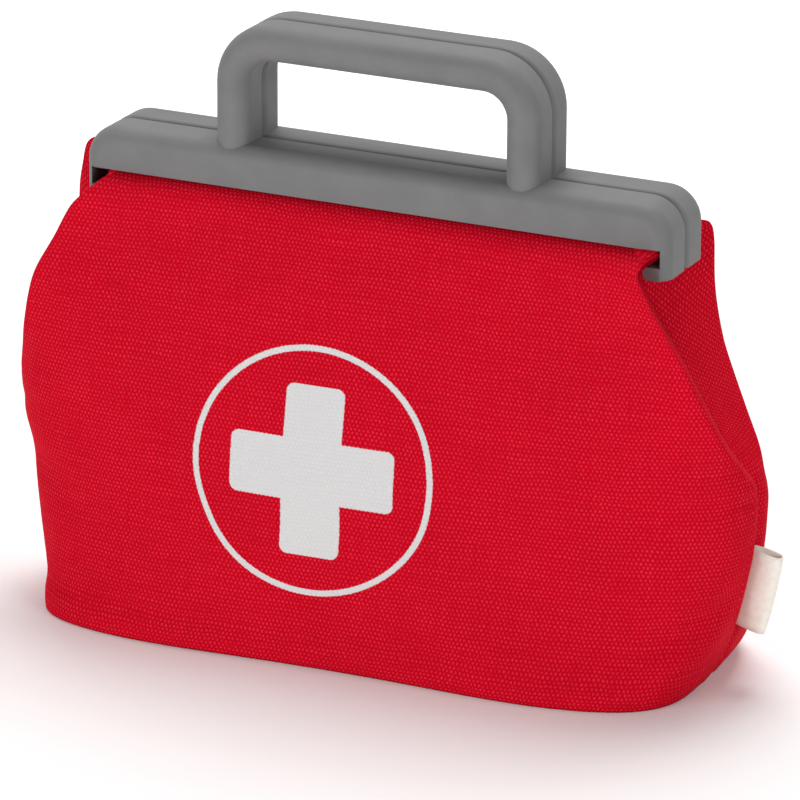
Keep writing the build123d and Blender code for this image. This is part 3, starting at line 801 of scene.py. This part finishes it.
front_canvas = canvas_panel("front_canvas", -1, printed_canvas)
rear_canvas = canvas_panel("rear_canvas", 1, plain_canvas)
for panel, node_name, body, side in (
    (front_canvas, "front_panel", "front_half", -1), (rear_canvas, "rear_panel", "rear_half", 1)
):
    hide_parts(node_name)
    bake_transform(panel)

# ---------------------------------------------------------------- base and board
# The base is one piece of the same canvas, its edge turned up a little into the foot of the panels.
# A stiff board, black-lined and die-cut to the same outline, lies loose on it and keeps it flat.
front_rows, rear_rows = cloth_rows(-1)[0], cloth_rows(1)[0]
foot_loop = np.concatenate([front_rows[0], rear_rows[0][-2:0:-1]])[:, :2]
foot_middle = foot_loop.mean(axis=0)
base_profile = [(4, 0.0), (1.6, 0.05), (0.9, 0.25), (0.7, 0.7), (1.1, 1.05), (4, 1.1)]
board_profile = [(3.4, 1.25), (2.7, 1.5), (2.7, 3.0), (3.4, 3.25)]
fill_shares = (0.9, 0.7, 0.45, 0.2)     # rings that fill a plate, as shares of its outline


def inset(loop, distance):
    """A closed loop moved in, with its points kept."""
    ahead, behind = np.roll(loop, -1, axis=0), np.roll(loop, 1, axis=0)
    run = ahead - behind
    run /= np.linalg.norm(run, axis=1, keepdims=True)
    return loop + np.stack([-run[:, 1], run[:, 0]], axis=1) * distance


def face_outwards(made):
    shell = bmesh.new()
    shell.from_mesh(made.data)
    bmesh.ops.recalc_face_normals(shell, faces=shell.faces)
    shell.to_mesh(made.data)
    shell.free()


def plate(name, profile, material):
    """A closed plate from (inset, level) pairs round its edge, in mm, filled in to the middle."""
    count = len(foot_loop)
    edge = [np.c_[inset(foot_loop, distance), np.full(count, level)] for distance, level in profile]

    def filled(rim):
        return [
            rim * [share, share, 1] + [*(foot_middle * (1 - share)), 0] for share in fill_shares
        ]

    rings = filled(edge[0])[::-1] + edge + filled(edge[-1])
    middles = [[*foot_middle, profile[0][1]]], [[*foot_middle, profile[-1][1]]]
    points = np.concatenate([*rings, *middles])
    faces = []
    for ring in range(len(rings) - 1):
        for k in range(count):
            a, b = ring * count + k, ring * count + (k + 1) % count
            faces.append((a, b, b + count, a + count))
    low, high = len(points) - 2, len(points) - 1
    top = (len(rings) - 1) * count
    for k in range(count):
        faces += [(low, (k + 1) % count, k), (high, top + k, top + (k + 1) % count)]
    made = link_mesh(name, cloth_mesh(name, points, points[:, :2], faces), material)
    face_outwards(made)
    return made


base_canvas = plate("base_canvas", base_profile, plain_canvas)
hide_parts("base_panel")
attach(base_canvas, "bag")

board_black, board_fleck = (0.028, 0.028, 0.031), (0.06, 0.059, 0.062)
greyboard, nodes, links, surface = new_material("black_lined_board")
flecks = noise(nodes, links, object_place(nodes), scale=420, detail=5).outputs["Fac"]
blacks = shades(nodes, links, flecks, first=(0.35, board_black), last=(0.7, board_fleck))
links.new(blacks, surface.inputs["Base Color"])
surface.inputs["Roughness"].default_value = 0.7
rough_skin(nodes, links, surface, flecks, strength=0.3, depth=0.05)
board = plate("stiff_board", board_profile, greyboard)
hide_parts("base_board")
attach(board, "bag")

# ---------------------------------------------------------------- seam tapes
# Herringbone tape, folded over the raw edges of each end seam inside the bag and stitched down
# along both its edges with red polyester thread.
tape_half, tape_lift, tape_thickness = 4.0, 1.35, 0.6          # mm
tape_low, tape_high, tape_columns = 4.0, 157.0, 9
rib_pitch = 1.1
stitch_inset, stitch_pitch, stitch_length, stitch_thickness = 1.1, 3.4, 2.6, 0.55
stitch_lift = tape_lift + 0.4
seam_neighbours = 12   # columns of cloth either side of the seam that the tape follows
# The tape's two reds are painted shade between its ribs and a painted highlight on their crests.
tape_rib_painted_shade, tape_rib_painted_highlight = (0.34, 0.0, 0.008), (0.56, 0.006, 0.025)
# The thread's two reds are painted shade and a painted highlight along its twist.
thread_painted_shade, thread_painted_highlight = (0.40, 0.004, 0.02), (0.66, 0.03, 0.06)

herringbone, nodes, links, surface = new_material("red_herringbone_tape")
parts = node(nodes, "ShaderNodeSeparateXYZ")
links.new(node(nodes, "ShaderNodeUVMap", uv_map="cloth").outputs["UV"], parts.inputs[0])
aside = maths(nodes, links, "ABSOLUTE", parts.outputs[0])
slant = maths(nodes, links, "ADD", aside, parts.outputs[1])
ridge = maths(nodes, links, "SINE", maths(nodes, links, "MULTIPLY", slant, 2 * math.pi / rib_pitch))
ridge = maths(nodes, links, "MULTIPLY_ADD", ridge, 0.5, 0.5)
# Painted shade and painted highlight: the tape's red follows the same ridges as its bump, darker
# between the ribs and lighter on their crests.
tape_reds = shades(nodes, links, ridge, first=(0, tape_rib_painted_shade), last=(1, tape_rib_painted_highlight))
links.new(tape_reds, surface.inputs["Base Color"])
surface.inputs["Roughness"].default_value = 0.8
surface.inputs["Specular IOR Level"].default_value = 0.15
rough_skin(nodes, links, surface, ridge, strength=0.6, depth=0.1)

thread, nodes, links, surface = new_material("red_polyester_thread")
ply = node(nodes, "ShaderNodeTexWave")
ply.inputs["Scale"].default_value = 700
links.new(object_place(nodes), ply.inputs["Vector"])
# Painted shade and painted highlight: the thread turns darker and lighter red in bands along its
# twist.
twisted = shades(nodes, links, ply.outputs["Fac"], first=(0, thread_painted_shade), last=(1, thread_painted_highlight))
links.new(twisted, surface.inputs["Base Color"])
surface.inputs["Roughness"].default_value = 0.5

stitch_tree, given, result = geometry_tree("stitch_line", [
    ("Pitch", "NodeSocketFloat"), ("Length", "NodeSocketFloat"), ("Thickness", "NodeSocketFloat"),
])
nodes, links = stitch_tree.nodes, stitch_tree.links
paths = node(nodes, "GeometryNodeMeshToCurve")
links.new(given.outputs["Geometry"], paths.inputs[0])
spots = node(nodes, "GeometryNodeCurveToPoints", mode="LENGTH")
links.new(paths.outputs[0], spots.inputs["Curve"])
links.new(given.outputs["Pitch"], spots.inputs["Length"])
bead = node(nodes, "GeometryNodeMeshUVSphere")
bead.inputs["Segments"].default_value = 6
bead.inputs["Rings"].default_value = 5
bead.inputs["Radius"].default_value = 0.5
bead_size = node(nodes, "ShaderNodeCombineXYZ")
for axis, label in (("X", "Thickness"), ("Y", "Thickness"), ("Z", "Length")):
    links.new(given.outputs[label], bead_size.inputs[axis])
beads = node(nodes, "GeometryNodeInstanceOnPoints")
links.new(spots.outputs["Points"], beads.inputs["Points"])
links.new(bead.outputs[0], beads.inputs["Instance"])
links.new(spots.outputs["Rotation"], beads.inputs["Rotation"])
links.new(bead_size.outputs[0], beads.inputs["Scale"])
end_tree(nodes, links, beads.outputs[0], thread, result)


def seam_strip(side, offsets, lift):
    """Rows of points across an end seam, inside the bag, at offsets in mm along the cloth."""
    rows = []
    for level, front, rear in zip(levels, front_rows, rear_rows):
        if not tape_low <= level <= tape_high:
            continue
        if side > 0:
            front, rear = front[::-1], rear[::-1]
        path = np.concatenate([front[seam_neighbours:0:-1], rear[:seam_neighbours + 1]])
        lengths = lengths_along(path)
        lengths -= lengths[seam_neighbours]
        across = np.stack([np.interp(offsets, lengths, path[:, axis]) for axis in range(3)], axis=1)
        run = np.gradient(across, axis=0)
        inward = np.stack([run[:, 1], -run[:, 0]], axis=1) * side
        inward /= np.linalg.norm(inward, axis=1, keepdims=True)
        # Half its own direction and half the strip's, so that the tape lies flatter than the cloth.
        inward = inward * 0.5 + inward.mean(axis=0) * 0.5
        across[:, :2] -= inward * lift
        rows.append(across)
    return np.array(rows)


for side, name in ((-1, "left_seam"), (1, "right_seam")):
    offsets = np.linspace(-tape_half, tape_half, tape_columns)
    grid = seam_strip(side, offsets, tape_lift)
    rise = lengths_along(grid[:, tape_columns // 2])
    flats = np.stack(np.broadcast_arrays(offsets[None, :], rise[:, None]), axis=-1).reshape(-1, 2)
    faces = grid_faces(len(grid), tape_columns)
    tape_sheet = cloth_mesh(name + "_tape", grid.reshape(-1, 3), flats, faces)
    tape = link_mesh(name + "_tape", tape_sheet, herringbone)
    thicken(tape, tape_thickness, 0)
    face_outwards(tape)
    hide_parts(name + "_binding")
    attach(tape, "bag")

    stitch_edge = tape_half - stitch_inset
    lines = seam_strip(side, np.array([-stitch_edge, stitch_edge]), stitch_lift)
    line_mesh = bpy.data.meshes.new(name + "_stitches")
    long = len(lines)
    line_mesh.from_pydata(
        [tuple(point) for point in lines.transpose(1, 0, 2).reshape(-1, 3) * MM],
        [(k, k + 1) for k in range(2 * long - 1) if k != long - 1], [],
    )
    stitches = link_mesh(name + "_stitches", line_mesh, thread)
    run_tree(
        stitches, stitch_tree,
        Pitch=stitch_pitch * MM, Length=stitch_length * MM, Thickness=stitch_thickness * MM,
    )
    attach(stitches, "bag")

# ---------------------------------------------------------------- side label
# A loop of cream satin tape, cut hot, folded once and sewn into the right end seam by its two ends.
# Its open ends face up and down.
label_low, label_high, label_reach = 22.4, 51.4, 11.4          # mm
label_turn_radius, label_thickness = 2.4, 0.5
# The end held in the seam, half the gap there, and the run over which the loop opens.
label_sewn_in, label_pinch, label_opening = 2.0, 0.3, 9.0
label_droop = -0.26    # how far it falls for each mm it reaches out
label_curl, label_curl_start = 0.5, 0.4
label_sway, label_sway_rate, label_sway_shift = 0.05, 3.2, 0.4
label_rows, leg_points, turn_points = 15, 10, 9
satin_rib_pitch = 0.5
# The dull and bright creams are the shaded and lit ends of a painted sheen.
dull_cream, bright_cream = (0.84, 0.80, 0.71), (0.93, 0.89, 0.81)

satin, nodes, links, surface = new_material("cream_satin_label")
flat = node(nodes, "ShaderNodeUVMap", uv_map="cloth").outputs["UV"]
parts = node(nodes, "ShaderNodeSeparateXYZ")
links.new(flat, parts.inputs[0])
ribs = maths(nodes, links, "MULTIPLY", parts.outputs[1], 2 * math.pi / satin_rib_pitch)
ribs = maths(nodes, links, "SINE", ribs)
patches = noise(nodes, links, flat, scale=0.5, detail=3).outputs["Fac"]
# Painted sheen: the cream turns darker and brighter over the ribs and in patches, as satin catches
# the light.
sheen = maths(nodes, links, "MULTIPLY_ADD", ribs, 0.12, patches)
creams = shades(nodes, links, sheen, first=(0.3, dull_cream), last=(0.7, bright_cream))
links.new(creams, surface.inputs["Base Color"])
surface.inputs["Roughness"].default_value = 0.45
surface.inputs["Sheen Weight"].default_value = 0.2
rough_skin(nodes, links, surface, ribs, strength=0.3, depth=0.05)

# The loop seen from above: (out, aside) from the seam round the turn and back.
turn_middle = label_reach - label_turn_radius
outward_leg = []
for out in np.linspace(-label_sewn_in, turn_middle, leg_points):
    opened = math.sin(min((out + label_sewn_in) / label_opening, 1) * math.pi / 2)
    outward_leg.append((out, label_pinch + (label_turn_radius - label_pinch) * opened))
bend = [
    (turn_middle + label_turn_radius * math.cos(angle), label_turn_radius * math.sin(angle))
    for angle in np.linspace(math.pi / 2, -math.pi / 2, turn_points)[1:-1]
]
loop = np.array(outward_leg + bend + [(out, -aside) for out, aside in outward_leg[::-1]])
seam_line = front_rows[:, -1]
points, flats = [], []
for share in np.arange(label_rows) / (label_rows - 1):
    level = label_low + (label_high - label_low) * share
    root = np.array([np.interp(level, seam_line[:, 2], seam_line[:, axis]) for axis in range(3)])
    sway = label_sway * math.sin(label_sway_rate * share + label_sway_shift)
    heading = math.radians(bag_twist(level)) + sway
    out_way = np.array([math.cos(heading), math.sin(heading), label_droop])
    aside_way = np.array([-math.sin(heading), math.cos(heading), 0])
    for (out, aside), length in zip(loop, lengths_along(loop)):
        curl = label_curl * (share - label_curl_start) * (max(out, 0) / label_reach) ** 2
        points.append(root + out_way * out + aside_way * (aside + curl))
        flats.append((length, share * (label_high - label_low)))
label_sheet = cloth_mesh(
    "satin_label", np.array(points), np.array(flats), grid_faces(label_rows, len(loop))
)
satin_label = link_mesh("satin_label", label_sheet, satin)
thicken(satin_label, label_thickness, 0)
face_outwards(satin_label)
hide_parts("side_label")
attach(satin_label, "bag")
